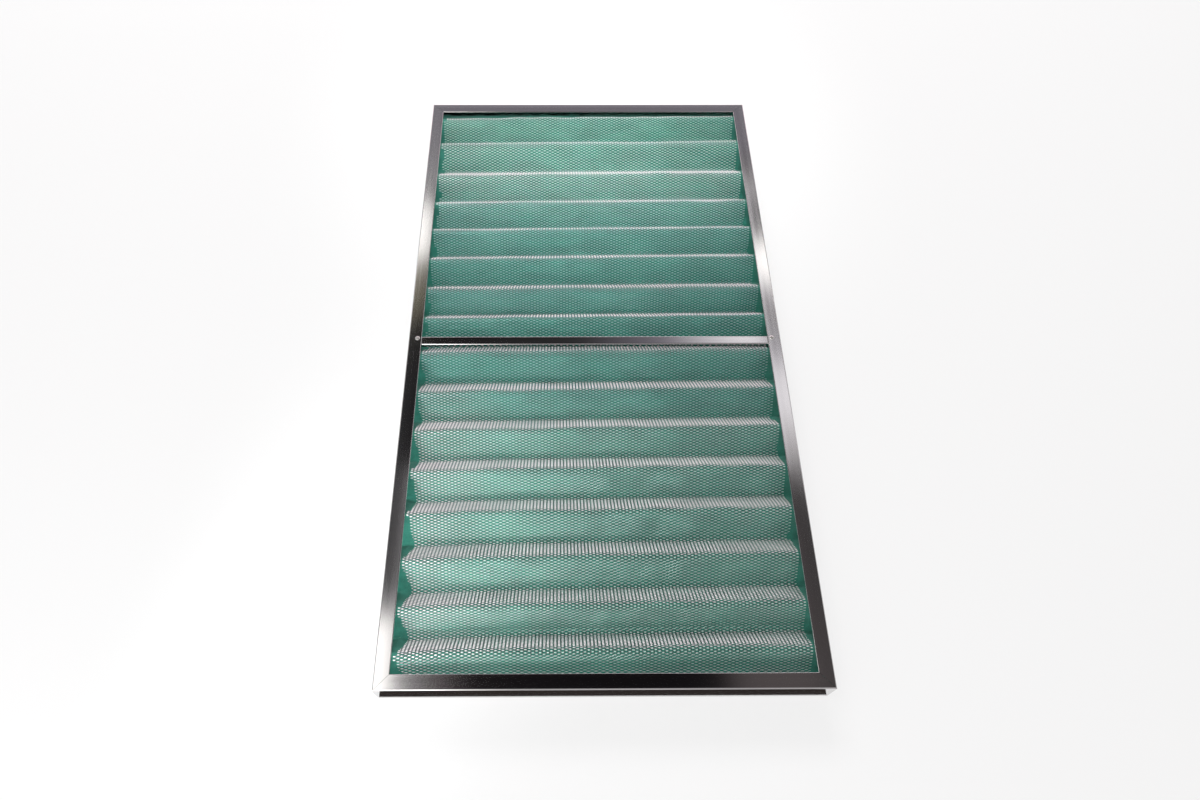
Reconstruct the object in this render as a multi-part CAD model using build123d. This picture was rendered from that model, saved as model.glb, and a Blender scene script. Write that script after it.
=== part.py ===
from build123d import *
import math
import os

# Pleated panel air filter: a folded sheet-metal channel frame round one pleated
# synthetic pad, with pleated expanded metal over its front and one crossbar.
# Millimetres. X runs across the width, Y along the length, +Z out of the front.
# The filter lies on its back, with the origin at the centre of the back face.

# ---- Frame -------------------------------------------------------------------
frame_width = 500.0
frame_length = 915.0
frame_depth = 42.0
frame_sheet = 0.8          # thickness of the frame's folded sheet
flange_width = 17.5        # width of the front and back flanges, over the web
flange_hem = 3.5           # how far each flange's edge is folded back under it
bend_radius = 0.8          # inside radius of the frame's bends
mitre_gap = 0.2            # set back of each member from the mitre line
tab_length = 15.0          # how far a rail's end tab reaches along the stile
tab_edge_gap = 3.0         # from the channel's flanges to the tab's edges
tab_corner_radius = 3.0

# ---- Crossbar ----------------------------------------------------------------
crossbar_width = 13.0
crossbar_leg = 6.0
crossbar_sheet = 0.8
crossbar_offset = -2.4     # its centre line, from the middle of the length
crossbar_end_gap = 1.0     # from its ends to the stiles' webs

# ---- Blind rivets ------------------------------------------------------------
shank_diameter = 3.2
head_diameter = 6.4
head_height = 1.0
head_shoulder = 0.7        # share of its radius and height where the head's slope steepens
mandrel_diameter = 1.8     # hollow left in the head by the pulled mandrel
mandrel_depth = 0.7
tail_diameter = 4.6        # the part of the shank that swells behind the joint
tail_length = 2.6
crossbar_rivet_inset = 11.9  # from the stile's outer face
corner_rivet_inset = 8.0     # from the rail's outer face
corner_rivet_spacing = 16.0

# ---- Pleated pack ------------------------------------------------------------
pleat_pitch = 55.4
first_crest = 45.5         # from the bottom rail's outer face to the first crest
crest_radius = 4.0         # of the expanded metal's middle surface
valley_radius = 6.0
least_fold_radius = 1.0    # on the inner side of the pad's folds
media_thickness = 13.0
metal_thickness = 0.8      # of the expanded metal
metal_margin = 3.5         # from the expanded metal's sides to the flanges' edges
media_side_gap = 4.7       # from the pad's sides to the stiles' webs
pack_end_gap = 0.6         # from the pack's ends to the rails' webs
least_tail = 4.0           # shortest flat tail of the pack beyond its last valley

# ---- Openings of the expanded metal, drawn coarse ----------------------------
opening_length = 84.0
opening_height = 22.0
opening_pitch = 113.0

# ---- Fits --------------------------------------------------------------------
soft_clearance = 0.3       # between the pad or its metal and the frame
laid_clearance = 0.1       # between sheets that lie on each other
hole_clearance = 0.05      # round a rivet's shank

# ---- Sizes that follow -------------------------------------------------------
half_width = frame_width / 2
half_length = frame_length / 2
hem_thickness = 2 * frame_sheet
crossbar_top = frame_depth - hem_thickness - laid_clearance
tab_outer_x = half_width - frame_sheet - laid_clearance
tab_height = frame_depth - 2 * (frame_sheet + tab_edge_gap)

pack_top = frame_depth - hem_thickness - soft_clearance
pack_bottom = hem_thickness + soft_clearance
fold_rise = pack_top - pack_bottom - metal_thickness - laid_clearance - media_thickness
half_pitch = pleat_pitch / 2
last_crest_room = half_pitch + least_tail + pack_end_gap + frame_sheet
pleat_count = int((frame_length - first_crest - last_crest_room) // pleat_pitch) + 1
metal_width = frame_width - 2 * (flange_width + metal_margin)
openings_per_slope = int((metal_width - opening_length) // opening_pitch) + 1


def slope_angle():
    """Angle of the pleats' flanks that gives the rise with both fold radii."""
    radii = crest_radius + valley_radius
    across, lift = half_pitch, radii - fold_rise
    return math.asin(radii / math.hypot(across, lift)) - math.atan2(lift, across)


flank_angle = slope_angle()
crest_z = pack_top - metal_thickness / 2
valley_z = crest_z - fold_rise
sharp_crest_z = crest_z + crest_radius * (1 / math.cos(flank_angle) - 1)
sharp_valley_z = valley_z - valley_radius * (1 / math.cos(flank_angle) - 1)
first_crest_y = first_crest - half_length


# ---- Frame members -----------------------------------------------------------
def corners_at(outline, u, v):
    """The outline's corners nearest to a point of its own plane."""
    point = Vector(u, v, 0)
    return [c for c in outline.vertices() if (Vector(c.X, c.Y, c.Z) - point).length < 0.01]


def channel_outline():
    """The frame's channel: web at u = 0, hemmed flanges at v = 0 and at the top."""
    edge, top, sheet = flange_width, frame_depth, frame_sheet
    outline = Pos(edge / 2, top / 2) * Rectangle(edge, top)
    outline -= Pos((edge + sheet) / 2, top / 2) * Rectangle(edge - sheet, top - 2 * sheet)
    for hem_v in (1.5 * sheet, top - 1.5 * sheet):
        outline += Pos(edge - flange_hem / 2, hem_v) * Rectangle(flange_hem, sheet)
    outside = corners_at(outline, 0, 0) + corners_at(outline, 0, top)
    outline = fillet(outside, bend_radius + sheet)
    inside = corners_at(outline, sheet, sheet) + corners_at(outline, sheet, top - sheet)
    outline = fillet(inside, bend_radius)
    nose = []
    for v in (0, hem_thickness, top - hem_thickness, top):
        nose += corners_at(outline, edge, v)
    return fillet(nose, 0.98 * sheet)


def channel_member(length):
    """A mitred channel along Y, its web's outer face on X = 0, open towards +X."""
    bar = extrude(Plane.XZ * channel_outline(), length / 2, both=True)
    end = length / 2 - mitre_gap
    reach = flange_width + 1
    footprint = Polygon((0, end), (0, -end), (reach, reach - end), (reach, end - reach), align=None)
    return bar & extrude(footprint, frame_depth, dir=(0, 0, 1))


def left_stile():
    stile = Pos(-half_width, 0, 0) * channel_member(frame_length)
    for place in corner_rivet_places():
        if place.position.X < 0:
            stile -= place * rivet_hole()
    stile -= crossbar_rivet_place(-1) * rivet_hole()
    return stile


def bottom_rail():
    rail = Pos(0, -half_length, 0) * Rot(0, 0, 90) * channel_member(frame_width)
    tab_length_y = tab_length + bend_radius
    for side in (-1, 1):
        tab = Box(frame_sheet, tab_length_y, tab_height)
        free_edges = tab.edges().filter_by(Axis.X).group_by(Axis.Y)[-1]
        tab = fillet(free_edges, tab_corner_radius)
        x = side * (tab_outer_x - frame_sheet / 2)
        y = -half_length + frame_sheet + tab_length_y / 2
        rail += Pos(x, y, frame_depth / 2) * tab
    for place in corner_rivet_places():
        if place.position.Y < 0:
            rail -= place * rivet_hole()
    return rail


def turned_round(shape):
    """The same member on the opposite side of the frame."""
    return Rot(0, 0, 180) * shape


# ---- Crossbar ----------------------------------------------------------------
def crossbar():
    width, leg, sheet = crossbar_width, crossbar_leg, crossbar_sheet
    outline = Pos(0, -leg / 2) * Rectangle(width, leg)
    outline -= Pos(0, -(leg + sheet) / 2) * Rectangle(width - 2 * sheet, leg - sheet)
    outside = corners_at(outline, -width / 2, 0) + corners_at(outline, width / 2, 0)
    outline = fillet(outside, bend_radius + sheet)
    inner = width / 2 - sheet
    inside = corners_at(outline, -inner, -sheet) + corners_at(outline, inner, -sheet)
    outline = fillet(inside, bend_radius)
    length = frame_width - 2 * (frame_sheet + crossbar_end_gap)
    bar = extrude(Plane.YZ * outline, length / 2, both=True)
    bar = Pos(0, crossbar_offset, crossbar_top) * bar
    for side in (-1, 1):
        bar -= crossbar_rivet_place(side) * rivet_hole()
    return bar


# ---- Blind rivets ------------------------------------------------------------
def crossbar_rivet_place(side):
    """On the front of a stile, with +Z out of the head."""
    return Pos(side * (half_width - crossbar_rivet_inset), 0, frame_depth)


def corner_rivet_places():
    """On the stiles' outer faces, two to a corner, with +Z out of the head."""
    places = []
    for side_x in (-1, 1):
        for side_y in (-1, 1):
            y = side_y * (half_length - corner_rivet_inset)
            for side_z in (-0.5, 0.5):
                z = frame_depth / 2 + side_z * corner_rivet_spacing
                places.append(Pos(side_x * half_width, y, z) * Rot(0, side_x * 90, 0))
    return places


def rivet_hole():
    return Cylinder(shank_diameter / 2 + hole_clearance, 4 * tail_length)


def blind_rivet(grip):
    """Low head on Z = 0, shank through the grip, swollen tail behind it."""
    head_r, shank_r, tail_r = head_diameter / 2, shank_diameter / 2, tail_diameter / 2
    pin_r = mandrel_diameter / 2
    hollow = head_height - mandrel_depth
    tail_top = -grip - hole_clearance
    tail_end = tail_top - tail_length
    shoulder = (head_shoulder * head_r, head_shoulder * head_height)
    head = [(0, hollow), (pin_r, hollow), (pin_r, head_height), shoulder, (head_r, 0)]
    shank = [(shank_r, 0), (shank_r, tail_top)]
    tail = [(tail_r, tail_top), (shank_r, tail_end), (0, tail_end)]
    profile = Plane.XZ * Polyline(*head, *shank, *tail, close=True)
    return revolve(make_face(profile), axis=Axis.Z)


def crossbar_rivets():
    grip = hem_thickness + laid_clearance + crossbar_sheet
    return Compound(children=[crossbar_rivet_place(side) * blind_rivet(grip) for side in (-1, 1)])


def corner_rivets():
    grip = 2 * frame_sheet + laid_clearance
    return Compound(children=[place * blind_rivet(grip) for place in corner_rivet_places()])


# ---- Pleated pack ------------------------------------------------------------
def fold_corners():
    """Sharp corners of the expanded metal's middle surface, in Y and Z."""
    end_y = half_length - frame_sheet - pack_end_gap
    first_valley_y = first_crest_y - half_pitch
    tail_shift = valley_tail_shift()
    corners = [(-end_y, valley_z), (first_valley_y - tail_shift, valley_z)]
    for fold in range(pleat_count):
        crest_y = first_crest_y + fold * pleat_pitch
        corners.append((crest_y, sharp_crest_z))
        if fold < pleat_count - 1:
            corners.append((crest_y + half_pitch, sharp_valley_z))
    last_valley_y = first_crest_y + (pleat_count - 1) * pleat_pitch + half_pitch
    corners += [(last_valley_y + tail_shift, valley_z), (end_y, valley_z)]
    return corners


def valley_tail_shift():
    """How far short of a sharp valley a flank meets the flat tail's level."""
    return (sharp_valley_z - valley_z) / math.tan(flank_angle)


def parallel_line(below):
    """The fold line moved square to itself, towards the back, as filleted corners."""
    corners = fold_corners()
    moved = [(corners[0][0], corners[0][1] - below)]
    radii = []
    for before, here, after in zip(corners, corners[1:], corners[2:]):
        first = math.atan2(here[1] - before[1], here[0] - before[0])
        second = math.atan2(after[1] - here[1], after[0] - here[0])
        middle = (first + second) / 2
        reach = below / math.cos((second - first) / 2)
        moved.append((here[0] + reach * math.sin(middle), here[1] - reach * math.cos(middle)))
        crest_fold = max(crest_radius - below, least_fold_radius)
        radii.append(crest_fold if second < first else valley_radius + below)
    moved.append((corners[-1][0], corners[-1][1] - below))
    return moved, radii


def pleated_sheet(upper, lower, width):
    """A sheet between two depths below the fold line, centred across the width."""
    lines = []
    for below in (upper, lower):
        corners, radii = parallel_line(below)
        lines.append(FilletPolyline(*corners, radius=radii))
    ends = [Line(lines[0] @ i, lines[1] @ i) for i in (0, 1)]
    section = make_face(lines[0].edges() + lines[1].edges() + [ends[0].edge(), ends[1].edge()])
    return extrude(Plane.YZ * section, width / 2, both=True)


def expanded_metal():
    sheet = pleated_sheet(-metal_thickness / 2, metal_thickness / 2, metal_width)
    half_x, half_s = opening_length / 2, opening_height / 2
    diamond = Polygon((-half_x, 0), (0, -half_s), (half_x, 0), (0, half_s), align=None)
    cutter = extrude(diamond, metal_thickness * 2, both=True)
    flank_z = (sharp_crest_z + sharp_valley_z) / 2
    cutters = []
    for fold in range(pleat_count - 1):
        crest_y = first_crest_y + fold * pleat_pitch
        for flank_y, tilt in ((crest_y + half_pitch / 2, -1), (crest_y + 1.5 * half_pitch, 1)):
            place = Pos(0, flank_y, flank_z) * Rot(tilt * math.degrees(flank_angle), 0, 0)
            for column in range(openings_per_slope):
                x = (column - (openings_per_slope - 1) / 2) * opening_pitch
                cutters.append(place * Pos(x, 0, 0) * cutter)
    return sheet - cutters


def pleated_media():
    width = frame_width - 2 * (frame_sheet + media_side_gap)
    top = metal_thickness / 2 + laid_clearance
    return pleated_sheet(top, top + media_thickness, width)


# ---- Output ------------------------------------------------------------------
def main():
    stile = left_stile()
    rail = bottom_rail()
    pieces = {
        "left_stile": stile,
        "right_stile": turned_round(stile),
        "bottom_rail": rail,
        "top_rail": turned_round(rail),
        "crossbar": crossbar(),
        "crossbar_rivets": crossbar_rivets(),
        "corner_rivets": corner_rivets(),
        "pleated_media": pleated_media(),
        "expanded_metal": expanded_metal(),
    }
    os.makedirs("parts", exist_ok=True)
    for name, shape in pieces.items():
        export_step(shape, f"parts/{name}.step")


main()
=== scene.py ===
import math

import bpy
import numpy as np
from mathutils import Matrix, Vector

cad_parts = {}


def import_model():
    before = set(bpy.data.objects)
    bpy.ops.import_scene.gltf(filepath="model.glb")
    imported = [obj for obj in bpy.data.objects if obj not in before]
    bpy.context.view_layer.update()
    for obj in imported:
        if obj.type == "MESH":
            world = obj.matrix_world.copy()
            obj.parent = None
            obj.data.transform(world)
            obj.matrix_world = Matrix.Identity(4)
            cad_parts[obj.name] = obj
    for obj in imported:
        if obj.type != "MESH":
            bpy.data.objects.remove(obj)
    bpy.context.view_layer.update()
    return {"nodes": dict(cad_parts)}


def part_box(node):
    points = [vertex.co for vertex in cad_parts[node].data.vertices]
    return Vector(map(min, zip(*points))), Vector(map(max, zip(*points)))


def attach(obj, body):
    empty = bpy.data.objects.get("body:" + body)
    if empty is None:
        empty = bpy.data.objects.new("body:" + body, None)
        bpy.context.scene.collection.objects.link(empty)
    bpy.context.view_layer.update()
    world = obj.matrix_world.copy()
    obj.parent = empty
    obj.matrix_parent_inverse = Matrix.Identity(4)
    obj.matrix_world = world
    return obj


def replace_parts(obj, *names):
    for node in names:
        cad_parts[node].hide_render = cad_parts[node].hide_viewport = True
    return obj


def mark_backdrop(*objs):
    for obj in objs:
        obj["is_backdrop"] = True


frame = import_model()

# Pleated panel air filter, dressed: polished brushed frame, expanded metal of real
# strands over a fibrous green pad. Metres, in the CAD frame: X runs along the pleats,
# Y along the filter's length and +Z out of its front.

# ---- Sizes from the frame ----------------------------------------------------
METAL_LOW, METAL_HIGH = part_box("expanded_metal")
PAD_LOW, PAD_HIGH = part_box("pleated_media")
STILE_LOW, STILE_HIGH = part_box("left_stile")
FLANGE_EDGE = -STILE_HIGH.x          # half the opening between the stiles' flanges

# ---- Sizes of the pleats, as in the part's source -----------------------------
PLEAT_PITCH = 0.0554
MITRE_GAP = 0.0002
FIRST_CREST_INSET = 0.0455
FIRST_CREST = STILE_LOW.y - MITRE_GAP + FIRST_CREST_INSET
CREST_RADIUS = 0.004
VALLEY_RADIUS = 0.006
METAL_THICKNESS = 0.0008
PAD_GAP = 0.0001
PAD_THICKNESS = PAD_HIGH.z - PAD_LOW.z - (METAL_HIGH.z - METAL_LOW.z) + METAL_THICKNESS
CREST_Z = METAL_HIGH.z - METAL_THICKNESS / 2
VALLEY_Z = METAL_LOW.z + METAL_THICKNESS / 2
RISE = CREST_Z - VALLEY_Z

# How far each crest has wandered from its regular place, in mm, from the bottom rail up.
CREST_DRIFT_MM = (-2.5, -7.5, -5.5, -3.5, -3.0, -2.0, -1.0, 1.5, 5.0, -2.0, -2.0, -4.0,
                  -6.0, -4.5, 6.0, 8.5)
# How flat each crest is, from 0, a plain round fold, to 1, a fold with a flat top.
CREST_FLATNESS = (0.6, 0.5, 0.3, 0.2, 0.3, 0.2, 0.3, 0.8, 0.1, 0.5, 0.1, 0.2, 0.1, 0.1, 0.7, 0.3)
CREST_SKEW = 0.011                   # the crests lie a little askew to the rails
LEFT_DROOP = 0.004                   # and bend towards the bottom rail at their left ends
DROOP_START = 0.08                   # how far left of the middle the bend starts
DROOP_REACH = 0.15
DROOP_PLEATS = 8                     # the bend fades out over this many pleats
PLEATS = len(CREST_DRIFT_MM)
FLAT_CREST_RADIUS = 0.003
FLAT_CREST_WIDTH = 0.008
CREST_WAVE_SIZE = 0.0007             # along Y, as each crest runs from side to side
CREST_DIP = 0.0006                   # each crest lies this much below the CAD metal's
CREST_SAG_SIZE = 0.0005              # and rises and falls by about this
DENT_DEPTH = 0.0005                  # of the shallow dents in the flanks

# ---- Expanded metal ------------------------------------------------------------
DIAMOND_LENGTH = 0.0082              # along the pleats
HALF_ROWS = 20                       # half diamonds from a valley to a crest
HALF_KNUCKLE = 0.00115               # half the length of the bond where strands meet
KNUCKLE_WIDTH = 0.00125
STRAND_WIDTH = 0.00055
STRAND_THICKNESS = 0.0004
STRAND_START_SHARE = 0.8             # of half a knuckle, where a strand starts inside it
KNUCKLE_THICKER = 1.1                # than a strand
KNUCKLE_TILT = math.radians(24)      # turned about the pleats' direction
STRAND_TILT = math.radians(-10)
PLEATS_PER_PIECE = 4
TAIL_ROWS = 11                       # half rows of the flat tail by the bottom rail
LAST_ROW_TURN = PLEATS - 1 + 0.3     # the metal ends a little beyond its last crest
LOWER_LEFT_PLEATS = 7                # the lower left's cutback and puff fade out over these
LEFT_OVERHANG = 0.0024               # beyond the CAD metal's side, less the raggedness
LEFT_RAGGEDNESS = 0.0011
LOWER_LEFT_CUTBACK = 0.008           # in the valleys
RIGHT_OVERHANG = 0.0022
RIGHT_RAGGEDNESS = 0.0006

# ---- How the pad puffs up where no metal holds it --------------------------------
PUFF_START = 0.004                   # inside the metal's cut side
PUFF_REACH = 0.006
SIDE_PUFF = 0.0014
LOWER_LEFT_PUFF = 0.0050
LOWER_LEFT_WIDTH = 0.2               # from the middle to where that puff is full
SIDE_FLUFF = 0.0014
END_START_TURN = 0.02                # before the metal's last row
END_REACH_TURN = 0.12
END_PUFF = 0.0085
END_FLUFF = 0.001


# ---- Surface of the folds ------------------------------------------------------
def smooth_noise(length_scales, seed, size):
    """A repeatable smooth function of two coordinates, about -1 to 1."""
    rng = np.random.default_rng(seed)
    waves = []
    for scale in length_scales:
        for _ in range(size):
            turn = rng.uniform(0, 2 * math.pi)
            wave = 2 * math.pi / (scale * rng.uniform(0.7, 1.4))
            waves.append((wave * math.cos(turn), wave * math.sin(turn), rng.uniform(0, 6.283)))

    def value(a, b):
        total = sum(np.sin(p * a + q * b + r) for p, q, r in waves)
        return total / math.sqrt(len(waves)) * 0.9
    return value


def fold_profile(crest_radius, crest_flat):
    """One fold, valley to crest, by its share of the arc length: run 0 to 1, height 0 to 1."""
    half = PLEAT_PITCH / 2 - crest_flat / 2
    radii = crest_radius + VALLEY_RADIUS
    lift = radii - RISE
    angle = math.asin(radii / math.hypot(half, lift)) - math.atan2(lift, half)
    turn = np.linspace(0, angle, 24)
    run = list(VALLEY_RADIUS * np.sin(turn))
    height = list(VALLEY_RADIUS * (1 - np.cos(turn)))
    crest_run = half - crest_radius * np.sin(turn[::-1])
    crest_height = RISE - crest_radius * (1 - np.cos(turn[::-1]))
    run += list(crest_run) + [half + crest_flat / 2]
    height += list(crest_height) + [RISE]
    run, height = np.array(run), np.array(height)
    length = np.concatenate([[0], np.cumsum(np.hypot(np.diff(run), np.diff(height)))])
    share = length / length[-1]
    return share, run / run[-1], height / RISE


ROUND_FOLD = fold_profile(CREST_RADIUS, 0.0)
FLAT_FOLD = fold_profile(FLAT_CREST_RADIUS, FLAT_CREST_WIDTH)
CREST_WAVE = [smooth_noise((0.16, 0.07), 20 + k, 3) for k in range(PLEATS + 1)]
CREST_SAG = [smooth_noise((0.20, 0.06), 60 + k, 3) for k in range(PLEATS + 1)]
FLANK_DENTS = smooth_noise((0.09, 0.035), 5, 7)
LEFT_CUT = smooth_noise((1.3, 0.35), 31, 4)
RIGHT_CUT = smooth_noise((1.3, 0.35), 32, 4)


def crest_line(k, x):
    """Y of crest k at x; beyond the pack's two ends it goes on in step."""
    inside = np.clip(k, 0, PLEATS - 1)
    drift = np.array(CREST_DRIFT_MM)[inside] * 0.001
    leftward = np.clip((-x - DROOP_START) / DROOP_REACH, 0, 1)
    droop = LEFT_DROOP * np.clip(1 - k / DROOP_PLEATS, 0, 1) * leftward ** 2
    return FIRST_CREST + k * PLEAT_PITCH + drift + CREST_SKEW * x - droop


def fold_point(turn, x):
    """A point of the metal's middle surface.

    turn counts folds: a whole number is a crest, a half is the valley above it.
    """
    crest = np.rint(turn).astype(int)
    side = np.where(turn >= crest, 1, -1)
    share = np.clip(1 - 2 * np.abs(turn - crest), 0, 1)
    inside = np.clip(crest, 0, PLEATS - 1)
    flatness = np.array(CREST_FLATNESS)[inside]
    run = np.interp(share, ROUND_FOLD[0], ROUND_FOLD[1]) * (1 - flatness)
    run = run + np.interp(share, FLAT_FOLD[0], FLAT_FOLD[1]) * flatness
    height = np.interp(share, ROUND_FOLD[0], ROUND_FOLD[2]) * (1 - flatness)
    height = height + np.interp(share, FLAT_FOLD[0], FLAT_FOLD[2]) * flatness
    in_tail = crest != inside
    run = np.where(in_tail, share, run)
    height = np.where(in_tail, 0.0, height)
    here = crest_line(crest, x)
    beyond = crest_line(crest + side, x)
    valley = (here + beyond) / 2
    y = valley + (here - valley) * run
    wave = np.zeros_like(x)
    sag = np.zeros_like(x)
    for k in range(PLEATS):
        mask = inside == k
        wave[mask] = CREST_WAVE[k](x[mask], 0)
        sag[mask] = CREST_SAG[k](x[mask], 0)
    y = y + CREST_WAVE_SIZE * wave * height
    z = VALLEY_Z + RISE * height - (CREST_DIP + CREST_SAG_SIZE * sag) * height ** 2
    z = z + DENT_DEPTH * height * (1 - height) * 4 * FLANK_DENTS(x, y)
    return np.stack([x, y, z], -1)


def fold_frame(turn, x):
    """The surface's point, its direction across the folds and its normal."""
    step = 1e-3
    point = fold_point(turn, x)
    along = fold_point(turn + step, x) - fold_point(turn - step, x)
    along /= np.linalg.norm(along, axis=-1, keepdims=True)
    across = np.zeros_like(along)
    across[..., 0] = 1
    normal = np.cross(across, along)
    normal /= np.linalg.norm(normal, axis=-1, keepdims=True)
    return point, along, normal


# ---- Making pieces ---------------------------------------------------------------
def new_piece(name, points, faces, materials, smooth=False, finish=None):
    """A mesh in the root body; finish gives each face's place in the materials."""
    mesh = bpy.data.meshes.new(name)
    mesh.from_pydata([tuple(p) for p in points], [], [tuple(f) for f in faces])
    mesh.update()
    if smooth:
        mesh.polygons.foreach_set("use_smooth", [True] * len(mesh.polygons))
    piece = bpy.data.objects.new(name, mesh)
    bpy.context.scene.collection.objects.link(piece)
    for material in materials:
        mesh.materials.append(material)
    if finish is not None:
        mesh.polygons.foreach_set("material_index", finish)
    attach(piece, "root")
    return piece


def bars(start, end, wide, thick):
    """Flat bars without undersides: eight corners and three faces each."""
    half_wide, half_thick = wide / 2, thick / 2
    corners = []
    for place in (start, end):
        corners += [place - half_wide - half_thick, place - half_wide + half_thick,
                    place + half_wide + half_thick, place + half_wide - half_thick]
    points = np.stack(corners, 1).reshape(-1, 3)
    first = np.arange(len(start))[:, None] * 8
    faces = [first + np.array(f) for f in ((0, 4, 5, 1), (1, 5, 6, 2), (2, 6, 7, 3))]
    return points, np.concatenate(faces)


def metal_edges(turn):
    """Where the metal is cut at its left and right ends, more raggedly at lower left."""
    low = np.clip(1 - turn / LOWER_LEFT_PLEATS, 0, 1)
    in_valley = 2 * np.abs(turn - np.rint(turn))
    left = -LEFT_OVERHANG + LEFT_RAGGEDNESS * (1 + LEFT_CUT(turn, 0))
    left = left + LOWER_LEFT_CUTBACK * low ** 2 * in_valley
    right = -RIGHT_OVERHANG + RIGHT_RAGGEDNESS * (1 + RIGHT_CUT(turn, 0))
    return METAL_LOW.x + left, METAL_HIGH.x - right


def tilted(turn, x, angle):
    """A point of the metal, with the flat and upward directions of a turned strand."""
    point, along, normal = fold_frame(turn, x)
    flat = along * math.cos(angle) + normal * math.sin(angle)
    up = normal * math.cos(angle) - along * math.sin(angle)
    return point, flat, up


def expanded_metal_piece(first_pleat, last_pleat, materials):
    """The strands and knuckles of some of the pleats, from valley to valley."""
    columns = 2 * int(FLANGE_EDGE / (DIAMOND_LENGTH / 2))
    column_x = (np.arange(columns + 1) - columns / 2) * DIAMOND_LENGTH / 2
    first_row = 2 * HALF_ROWS * first_pleat - (TAIL_ROWS if first_pleat == 0 else 0)
    last_row = 2 * HALF_ROWS * last_pleat
    row_turn = np.arange(first_row, last_row + 1) / (2 * HALF_ROWS) - 0.5
    row_turn = row_turn[row_turn < LAST_ROW_TURN]
    rows = len(row_turn) - 1
    i, j = np.meshgrid(np.arange(columns + 1), np.arange(rows + 1), indexing="ij")
    knuckle = (i + j + first_row) % 2 == 0
    low_x, high_x = metal_edges(row_turn)
    knuckle &= (column_x[i] >= low_x[j]) & (column_x[i] <= high_x[j])
    i, j = i[knuckle], j[knuckle]
    starts, ends, wides, thicks = [], [], [], []
    for step in (-1, 1):
        joined = (i < columns) & (j + step >= 0) & (j + step <= rows)
        a, b = i[joined], j[joined]
        kept = column_x[a + 1] <= high_x[b + step]
        a, b = a[kept], b[kept]
        p, flat, up = tilted(row_turn[b], column_x[a], STRAND_TILT)
        q, _, _ = tilted(row_turn[b + step], column_x[a + 1], STRAND_TILT)
        p[:, 0] += HALF_KNUCKLE * STRAND_START_SHARE
        q[:, 0] -= HALF_KNUCKLE * STRAND_START_SHARE
        starts.append(p)
        ends.append(q)
        wides.append(flat * STRAND_WIDTH)
        thicks.append(up * STRAND_THICKNESS)
    p, flat, up = tilted(row_turn[j], column_x[i], KNUCKLE_TILT)
    reach = np.array([HALF_KNUCKLE, 0, 0])
    starts.append(p - reach)
    ends.append(p + reach)
    wides.append(flat * KNUCKLE_WIDTH)
    thicks.append(up * STRAND_THICKNESS * KNUCKLE_THICKER)
    points, faces = bars(*(np.concatenate(part) for part in (starts, ends, wides, thicks)))
    points[:, 1] = np.clip(points[:, 1], METAL_LOW.y, METAL_HIGH.y)
    strand_bars = len(starts[0]) + len(starts[1])
    is_knuckle = np.arange(strand_bars + len(starts[2])) >= strand_bars
    finish = np.tile(is_knuckle, 3).astype(int)
    name = f"expanded_metal_{first_pleat + 1:02d}_{last_pleat:02d}"
    return new_piece(name, points, faces, materials, finish=finish)


def pad_front(turn, x):
    """The pad under the metal, puffed out where the metal leaves it free."""
    point, _, normal = fold_frame(turn, x)
    fluff = smooth_noise((0.03, 0.012), 11, 6)(x, point[..., 1])
    low_x, high_x = metal_edges(turn)
    outside = np.maximum(low_x - x, x - high_x)
    beyond = np.clip((outside + PUFF_START) / PUFF_REACH, 0, 1)
    in_valley = 2 * np.abs(turn - np.rint(turn))
    low_left = np.clip(-x / LOWER_LEFT_WIDTH, 0, 1) * np.clip(1 - turn / LOWER_LEFT_PLEATS, 0, 1)
    puff = (SIDE_PUFF + LOWER_LEFT_PUFF * low_left + SIDE_FLUFF * fluff) * beyond * in_valley
    past_metal = np.clip((turn - LAST_ROW_TURN + END_START_TURN) / END_REACH_TURN, 0, 1)
    puff = puff + (END_PUFF + END_FLUFF * fluff) * past_metal
    return point + normal * (puff - METAL_THICKNESS / 2 - PAD_GAP)[..., None]


def pad_back(turn, x):
    """The pad's underside: even in thickness, with a sharp fold under each crest."""
    depth = METAL_THICKNESS / 2 + PAD_GAP + PAD_THICKNESS
    point, along, normal = fold_frame(turn, x)
    under = point - normal * depth
    crest = np.clip(np.rint(turn), 0, PLEATS - 1).astype(int)
    crest_y = crest_line(crest, x)
    crossed = (under[..., 1] - crest_y) * (turn - crest) <= 0
    slope = math.atan2(RISE, PLEAT_PITCH / 2 - CREST_RADIUS / 2 - VALLEY_RADIUS / 2)
    apex_z = CREST_Z + CREST_RADIUS * (1 / math.cos(slope) - 1) - depth / math.cos(slope)
    under[..., 1] = np.where(crossed, crest_y, under[..., 1])
    under[..., 2] = np.where(crossed, apex_z, np.minimum(under[..., 2], apex_z))
    return under


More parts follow.
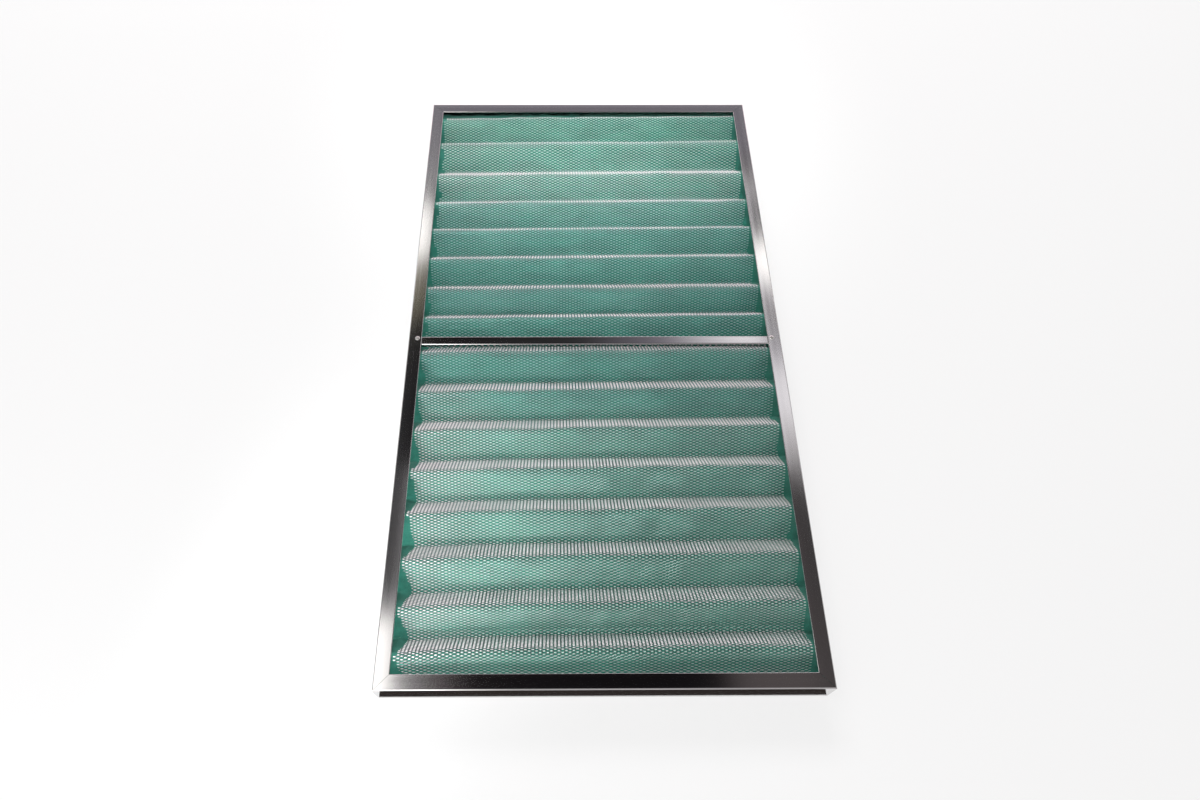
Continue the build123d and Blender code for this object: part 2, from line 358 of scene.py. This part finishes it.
def pad_piece(material):
    """The fibre pad: its pleated front and back and its cut sides."""
    columns, half_steps = 120, 11
    x_line = np.linspace(PAD_LOW.x, PAD_HIGH.x, columns + 1)
    turns = np.linspace(-0.5, PLEATS - 0.5, 2 * half_steps * PLEATS + 1)
    turns = np.concatenate([[-0.5 - TAIL_ROWS / (2 * HALF_ROWS)], turns])
    turn, x = np.meshgrid(turns, x_line, indexing="ij")
    front, back = pad_front(turn, x), pad_back(turn, x)
    rows, cols = front.shape[:2]
    points = np.concatenate([front.reshape(-1, 3), back.reshape(-1, 3)])
    points[:, 1] = np.clip(points[:, 1], PAD_LOW.y, PAD_HIGH.y)
    points[:, 2] = np.clip(points[:, 2], PAD_LOW.z, PAD_HIGH.z)
    at = np.arange(rows * cols).reshape(rows, cols)
    under = at + rows * cols
    faces = []
    for grid, order in ((at, 1), (under, -1)):
        quad = np.stack([grid[:-1, :-1], grid[:-1, 1:], grid[1:, 1:], grid[1:, :-1]], -1)
        faces.append(quad.reshape(-1, 4)[:, ::order])
    for edge, other, order in ((at[:, 0], under[:, 0], 1), (at[:, -1], under[:, -1], -1),
                               (at[0], under[0], -1), (at[-1], under[-1], 1)):
        quad = np.stack([edge[:-1], edge[1:], other[1:], other[:-1]], -1)
        faces.append(quad[:, ::order])
    piece = new_piece("fibre_pad", points, np.concatenate(faces), [material], smooth=True)
    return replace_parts(piece, "pleated_media")


# ---- Materials ---------------------------------------------------------------------
COLOUR_A, COLOUR_B, COLOUR_OUT = 6, 7, 2     # a Mix node's sockets when it mixes colours


def new_material(name):
    material = bpy.data.materials.new(name)
    material.use_nodes = True
    tree = material.node_tree
    shader = tree.nodes["Principled BSDF"]
    return material, tree, shader


def add(tree, kind, **values):
    node = tree.nodes.new(kind)
    for key, value in values.items():
        if hasattr(node, key):
            setattr(node, key, value)
        else:
            node.inputs[key].default_value = value
    return node


def stretched_noise(tree, scale, detail=3.0, rough=0.55):
    """Noise in object metres, with its own count per metre along X, Y and Z."""
    place = add(tree, "ShaderNodeTexCoord")
    mapping = add(tree, "ShaderNodeMapping", Scale=scale)
    noise = add(tree, "ShaderNodeTexNoise", Scale=1.0, Detail=detail, Roughness=rough)
    tree.links.new(place.outputs["Object"], mapping.inputs["Vector"])
    tree.links.new(mapping.outputs["Vector"], noise.inputs["Vector"])
    return noise.outputs["Fac"]


def ramp(tree, value, stops):
    node = add(tree, "ShaderNodeValToRGB")
    elements = node.color_ramp.elements
    for position, _ in stops[1:-1]:
        elements.new(position)
    for element, (position, colour) in zip(elements, stops):
        element.position = position
        element.color = (*colour, 1)
    tree.links.new(value, node.inputs["Fac"])
    return node.outputs["Color"]


def map_range(tree, value, low, high):
    node = add(tree, "ShaderNodeMapRange")
    node.inputs["To Min"].default_value = low
    node.inputs["To Max"].default_value = high
    tree.links.new(value, node.inputs["Value"])
    return node.outputs["Result"]


def map_span(tree, value, low, high):
    """0 where value is low and 1 where it is high."""
    node = add(tree, "ShaderNodeMapRange")
    node.inputs["From Min"].default_value = low
    node.inputs["From Max"].default_value = high
    tree.links.new(value, node.inputs["Value"])
    return node.outputs["Result"]


def bump(tree, shader, height, strength, distance):
    node = add(tree, "ShaderNodeBump", Strength=strength, Distance=distance)
    tree.links.new(height, node.inputs["Height"])
    tree.links.new(node.outputs["Normal"], shader.inputs["Normal"])


def brushed_sheet(name, along):
    """Polished sheet with fine brush lines along X or Y."""
    material, tree, shader = new_material(name)
    fine = (5, 350, 350) if along == "X" else (350, 5, 350)
    broad = (1.2, 110, 110) if along == "X" else (110, 1.2, 110)
    lines = stretched_noise(tree, fine, 1.0)
    bands = stretched_noise(tree, broad, 3.0)
    tone = ramp(tree, bands, ((0.25, (0.56, 0.545, 0.55)), (0.75, (0.70, 0.685, 0.69))))
    tree.links.new(tone, shader.inputs["Base Color"])
    tree.links.new(map_range(tree, bands, 0.07, 0.16), shader.inputs["Roughness"])
    shader.inputs["Metallic"].default_value = 1.0
    bump(tree, shader, lines, 0.025, 0.0001)
    return material


def rivet_metal():
    material, tree, shader = new_material("rivet_aluminium")
    dull = stretched_noise(tree, (900, 900, 900), 3.0)
    tree.links.new(ramp(tree, dull, ((0.3, (0.62, 0.60, 0.58)), (0.7, (0.80, 0.79, 0.77)))),
                   shader.inputs["Base Color"])
    shader.inputs["Metallic"].default_value = 1.0
    shader.inputs["Roughness"].default_value = 0.32
    bump(tree, shader, dull, 0.2, 0.0002)
    return material


def expanded_aluminium(name, dull, bright, up, metallic, roughness):
    """Aluminium, duller in patches, with painted light and shade by facing: a painted green
    reflection and shade on the slopes that face -Y, and the colour up on the rest.

    The tint was set, in soft bands along Y, to match the photograph's tones, so
    it paints in some of the photograph's own light. It follows where the surface is and
    which way it faces.
    """
    material, tree, shader = new_material(name)
    patches = stretched_noise(tree, (14, 30, 30), 4.0)
    metal = ramp(tree, patches, ((0.3, dull), (0.7, bright)))
    spot = add(tree, "ShaderNodeTexCoord")
    place, side = (add(tree, "ShaderNodeSeparateXYZ") for _ in range(2))
    tree.links.new(spot.outputs["Object"], place.inputs["Vector"])
    tree.links.new(spot.outputs["Normal"], side.inputs["Vector"])
    # This ramp is painted light: a green reflection of the pad, lighter and darker in bands along
    # Y, for the slopes that face -Y.
    painted_light_on_minus_y_slopes = ramp(tree, map_span(tree, place.outputs["Y"], -0.45, 0.45),
                ((0.0, (0.66, 0.88, 0.80)), (0.35, (0.66, 0.92, 0.85)), (0.41, (0.36, 0.64, 0.61)),
                 (0.60, (0.28, 0.52, 0.51)), (0.74, (0.44, 0.74, 0.72)), (0.84, (0.84, 1.0, 0.95)),
                 (0.93, (0.60, 0.84, 0.76)), (1.0, (0.38, 0.64, 0.55))))
    # The lowest pleats keep the other slopes' tone at their left ends, for the glare there.
    tinted = add(tree, "ShaderNodeMath", operation="MAXIMUM")
    tree.links.new(map_span(tree, place.outputs["X"], -0.22, -0.12), tinted.inputs[0])
    tree.links.new(map_span(tree, place.outputs["Y"], -0.16, -0.04), tinted.inputs[1])
    share = add(tree, "ShaderNodeMath", operation="MULTIPLY")
    tree.links.new(map_span(tree, side.outputs["Y"], -0.15, -0.45), share.inputs[0])
    tree.links.new(tinted.outputs[0], share.inputs[1])
    shade = add(tree, "ShaderNodeMix", data_type="RGBA")
    tree.links.new(share.outputs[0], shade.inputs[0])
    # The colour up is painted light and shade, on the slopes that don't face -Y and at the lowest
    # pleats' left ends.
    shade.inputs[COLOUR_A].default_value = (*up, 1)
    tree.links.new(painted_light_on_minus_y_slopes, shade.inputs[COLOUR_B])
    mix = add(tree, "ShaderNodeMix", data_type="RGBA", blend_type="MULTIPLY")
    mix.inputs[0].default_value = 1.0
    tree.links.new(metal, mix.inputs[COLOUR_A])
    tree.links.new(shade.outputs[COLOUR_OUT], mix.inputs[COLOUR_B])
    tree.links.new(mix.outputs[COLOUR_OUT], shader.inputs["Base Color"])
    shader.inputs["Metallic"].default_value = metallic
    shader.inputs["Roughness"].default_value = roughness
    return material


def fibre():
    """Matt green fibre: fine tangled hairs with paler, looser patches."""
    material, tree, shader = new_material("green_fibre")
    hairs = stretched_noise(tree, (1600, 1600, 1600), 6.0, 0.7)
    clouds = stretched_noise(tree, (24, 60, 60), 4.0)
    colour = ramp(tree, hairs, ((0.25, (0.008, 0.088, 0.064)), (0.75, (0.050, 0.30, 0.225))))
    pale = ramp(tree, clouds, ((0.35, (0.8, 0.8, 0.8)), (0.75, (1.35, 1.3, 1.3))))
    mix = add(tree, "ShaderNodeMix", data_type="RGBA", blend_type="MULTIPLY")
    mix.inputs[0].default_value = 1.0
    tree.links.new(colour, mix.inputs[COLOUR_A])
    tree.links.new(pale, mix.inputs[COLOUR_B])
    tree.links.new(mix.outputs[COLOUR_OUT], shader.inputs["Base Color"])
    shader.inputs["Roughness"].default_value = 0.95
    shader.inputs["Sheen Weight"].default_value = 0.35
    shader.inputs["Sheen Roughness"].default_value = 0.6
    shader.inputs["Sheen Tint"].default_value = (0.55, 0.9, 0.8, 1)
    bump(tree, shader, hairs, 0.6, 0.0008)
    return material


# ---- Stage, light and camera ----------------------------------------------------------
CARD_HEIGHT = 2.0
FLOOR_REACH = 40.0
FLOOR_DROP = 0.0003                  # keeps the floor clear of the frame's underside
FLOOR_WHITE = 0.65                   # share of plain white in what camera and metal see of it


def floor():
    mesh = bpy.data.meshes.new("floor")
    reach = FLOOR_REACH
    mesh.from_pydata([(-reach, -reach, 0), (reach, -reach, 0), (reach, reach, 0),
                      (-reach, reach, 0)], [], [(0, 1, 2, 3)])
    piece = bpy.data.objects.new("floor", mesh)
    bpy.context.scene.collection.objects.link(piece)
    piece.location.z = -FLOOR_DROP
    material, tree, shader = new_material("floor_white")
    shader.inputs["Base Color"].default_value = (0.94, 0.94, 0.94, 1)
    shader.inputs["Roughness"].default_value = 0.9
    # The camera, and rays off metal or through glass, see it as nearly white, with a
    # soft shadow left.
    path = add(tree, "ShaderNodeLightPath")
    seen = add(tree, "ShaderNodeMath", operation="ADD")
    either = add(tree, "ShaderNodeMath", operation="ADD")
    share = add(tree, "ShaderNodeMath", operation="MULTIPLY")
    white = add(tree, "ShaderNodeEmission")
    mix = add(tree, "ShaderNodeMixShader")
    tree.links.new(path.outputs["Is Camera Ray"], seen.inputs[0])
    tree.links.new(path.outputs["Is Glossy Ray"], seen.inputs[1])
    tree.links.new(seen.outputs[0], either.inputs[0])
    tree.links.new(path.outputs["Is Transmission Ray"], either.inputs[1])
    either.use_clamp = True
    tree.links.new(either.outputs[0], share.inputs[0])
    share.inputs[1].default_value = FLOOR_WHITE
    white.inputs["Color"].default_value = (1, 1, 1, 1)
    tree.links.new(share.outputs[0], mix.inputs[0])
    tree.links.new(shader.outputs[0], mix.inputs[1])
    tree.links.new(white.outputs[0], mix.inputs[2])
    out = next(node for node in tree.nodes if node.type == "OUTPUT_MATERIAL")
    tree.links.new(mix.outputs[0], out.inputs["Surface"])
    mesh.materials.append(material)
    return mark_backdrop(piece)


def card(name, place, size, along, stops, upright=False):
    """A card that only shows in reflections, as a studio's screens do.

    size is its half width and half height, and stops are distances from its middle
    along its own X or Y, with the colours there.
    """
    mesh = bpy.data.meshes.new(name)
    wide, high = size
    mesh.from_pydata([(-wide, -high, 0), (-wide, high, 0), (wide, high, 0), (wide, -high, 0)],
                     [], [(0, 1, 2, 3)])
    piece = bpy.data.objects.new(name, mesh)
    bpy.context.scene.collection.objects.link(piece)
    piece.location = place
    if upright:
        piece.rotation_euler = (math.pi / 2, 0, 0)
    material = bpy.data.materials.new(name)
    material.use_nodes = True
    tree = material.node_tree
    tree.nodes.clear()
    spot = add(tree, "ShaderNodeTexCoord")
    parts = add(tree, "ShaderNodeSeparateXYZ")
    first, last = stops[0][0], stops[-1][0]
    share = add(tree, "ShaderNodeMapRange")
    share.inputs["From Min"].default_value = first
    share.inputs["From Max"].default_value = last
    tree.links.new(spot.outputs["Object"], parts.inputs["Vector"])
    tree.links.new(parts.outputs[along], share.inputs["Value"])
    levels = [((at - first) / (last - first), colour) for at, colour in stops]
    glow = add(tree, "ShaderNodeEmission")
    out = add(tree, "ShaderNodeOutputMaterial")
    tree.links.new(ramp(tree, share.outputs["Result"], levels), glow.inputs["Color"])
    tree.links.new(glow.outputs["Emission"], out.inputs["Surface"])
    mesh.materials.append(material)
    piece.visible_camera = False
    piece.visible_diffuse = False
    piece.visible_shadow = False
    piece.visible_transmission = False
    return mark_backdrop(piece)


def overhead(name, low, high, along, stops):
    """A level card between two corners; its stops are places in the room."""
    middle = ((low[0] + high[0]) / 2, (low[1] + high[1]) / 2)
    half = ((high[0] - low[0]) / 2, (high[1] - low[1]) / 2)
    start = middle[0] if along == "X" else middle[1]
    moved = [(at - start, colour) for at, colour in stops]
    return card(name, (*middle, CARD_HEIGHT), half, along, moved)


def cards():
    black, charcoal = (0.008, 0.007, 0.008), (0.032, 0.032, 0.033)
    umber, brown, grey = (0.034, 0.028, 0.026), (0.12, 0.105, 0.105), (0.30, 0.30, 0.31)
    mauve, brass = (0.22, 0.205, 0.24), (0.27, 0.25, 0.18)
    pale, light, white = (0.62, 0.60, 0.60), (1.15, 1.13, 1.16), (2.3, 2.28, 2.2)
    glare, sky = (6.0, 6.0, 5.9), (0.45, 0.42, 0.43)
    # The stiles' flanges are seen against strips of the outer two, and the rails and
    # the crossbar against the three between them.
    left_x, right_x = -0.632, 0.836
    overhead("card_left", (-1.8, -0.8), (left_x, 3.6), "Y", (
        (-0.6, white), (0.13, white), (0.21, grey), (0.29, charcoal), (1.44, charcoal),
        (1.54, brass), (1.76, brass), (1.85, white), (2.10, white), (2.17, grey), (3.4, mauve)))
    overhead("card_right", (right_x, -0.8), (2.2, 3.6), "Y", (
        (-0.6, brown), (0.66, charcoal), (0.90, pale), (1.02, light), (1.18, light),
        (1.32, mauve), (1.40, grey), (1.50, brown), (1.60, mauve), (1.74, white), (1.86, white),
        (1.95, charcoal), (2.12, charcoal), (2.25, pale), (2.38, charcoal), (2.52, mauve),
        (3.4, grey)))
    overhead("card_near", (left_x, -0.8), (right_x, 0.75), "X", (
        (left_x, pale), (-0.60, grey), (-0.47, brown), (-0.36, black), (0.50, black),
        (0.58, brown), (right_x, brown)))
    overhead("card_middle", (left_x, 0.75), (right_x, 2.2), "X", (
        (left_x, black), (0.05, charcoal), (0.40, mauve), (0.74, light), (right_x, light)))
    overhead("card_far", (left_x, 2.2), (right_x, 3.6), "Y", (
        (2.2, pale), (2.6, mauve), (3.6, grey)))
    card("card_behind", (0, 3.4, 1.0), (3.0, 0.85), "X", (
        (-3.0, (1.9, 1.64, 1.74)), (3.0, (1.9, 1.64, 1.74))), upright=True)
    card("card_front", (0, -2.6, 1.3), (3.0, 1.3), "X", (
        (-3.0, glare), (-0.66, glare), (-0.50, white), (-0.25, sky), (3.0, sky)), upright=True)
    card("card_floor", (0, -0.4895, 0.0005), (0.25, 0.0305), "X", (
        (-0.25, umber), (0.25, umber)))


def world():
    scene_world = bpy.data.worlds.new("studio")
    bpy.context.scene.world = scene_world
    scene_world.use_nodes = True
    tree = scene_world.node_tree
    background = tree.nodes["Background"]
    background.inputs["Color"].default_value = (1, 1, 1, 1)
    background.inputs["Strength"].default_value = 0.55
    return scene_world


def area_light(name, place, target, size, power, colour=(1, 1, 1), shadow=True, spread=180):
    data = bpy.data.lights.new(name, "AREA")
    data.color = colour
    data.use_shadow = shadow
    data.spread = math.radians(spread)
    data.shape = "RECTANGLE"
    data.size, data.size_y = size
    data.energy = power
    lamp = bpy.data.objects.new(name, data)
    bpy.context.scene.collection.objects.link(lamp)
    lamp.visible_glossy = False
    lamp.location = place
    lamp.rotation_euler = (Vector(target) - Vector(place)).to_track_quat("-Z", "Y").to_euler()
    return lamp


def camera():
    """Fitted to the frame's corners, mitres and rivets, as the photograph shows them."""
    photo_width, photo_height = 1200.0, 800.0
    focal_px, centre_x, centre_y = 818.5, 564.6, 420.0
    pitch, yaw, roll = 1.06261, 0.01321, 0.00885
    look = Vector((math.sin(yaw) * math.cos(pitch), math.cos(yaw) * math.cos(pitch),
                   -math.sin(pitch)))
    level = Vector((math.cos(yaw), -math.sin(yaw), 0))
    above = level.cross(look)
    right = level * math.cos(roll) + above * math.sin(roll)
    up = above * math.cos(roll) - level * math.sin(roll)
    data = bpy.data.cameras.new("camera")
    data.sensor_width = 36.0
    data.lens = focal_px / photo_width * data.sensor_width
    data.shift_x = (photo_width / 2 - centre_x) / photo_width
    data.shift_y = (centre_y - photo_height / 2) / photo_width
    data.clip_start = 0.01
    seat = bpy.data.objects.new("camera", data)
    bpy.context.scene.collection.objects.link(seat)
    place = Vector((-0.0481, -0.6314, 0.9490))
    seat.matrix_world = Matrix.Translation(place) @ Matrix((
        (right.x, up.x, -look.x, 0), (right.y, up.y, -look.y, 0),
        (right.z, up.z, -look.z, 0), (0, 0, 0, 1)))
    bpy.context.scene.camera = seat
    return seat


# ---- The object ------------------------------------------------------------------------
def finish_frame():
    finishes = {"X": brushed_sheet("brushed_along_x", "X"),
                "Y": brushed_sheet("brushed_along_y", "Y")}
    rivets = rivet_metal()
    chosen = {"left_stile": finishes["Y"], "right_stile": finishes["Y"],
              "top_rail": finishes["X"], "bottom_rail": finishes["X"],
              "crossbar": finishes["X"], "crossbar_rivets": rivets, "corner_rivets": rivets}
    for node, material in chosen.items():
        part = frame["nodes"][node]
        for place in part.material_slots:
            place.material = material


def main():
    finish_frame()
    # Strands and knuckles are one aluminium: the knuckles' paler, less metallic copy is painted
    # highlight and the strands' darker copy is painted shade.
    strands = expanded_aluminium("strands", (0.56, 0.55, 0.57), (0.66, 0.64, 0.66),
                                 (0.62, 0.58, 0.61), 0.80, 0.28)
    knuckles = expanded_aluminium("knuckles", (0.84, 0.83, 0.84), (0.95, 0.94, 0.94),
                                  (1.0, 0.955, 0.97), 0.35, 0.32)
    for first in range(0, PLEATS, PLEATS_PER_PIECE):
        last = min(first + PLEATS_PER_PIECE, PLEATS)
        piece = expanded_metal_piece(first, last, [strands, knuckles])
        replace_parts(piece, "expanded_metal")
    pad_piece(fibre())
    floor()
    cards()
    world()
    area_light("key", (-0.3, 2.2, 1.9), (0, 0, 0), (1.8, 0.8), 38, (1.0, 0.95, 0.96))
    area_light("window", (-0.75, -1.3, 0.45), (-0.2, -0.3, 0), (0.5, 0.5), 7, shadow=False)
    area_light("left_end", (-0.55, -0.85, 0.38), (-0.24, -0.27, 0), (0.25, 0.25), 0.36,
               shadow=False, spread=32)
    area_light("far_fill", (0, -0.5, 1.7), (0, 0.46, 0), (0.4, 0.4), 0.75, spread=22)
    camera()
    bpy.context.scene.view_settings.view_transform = "Standard"


main()
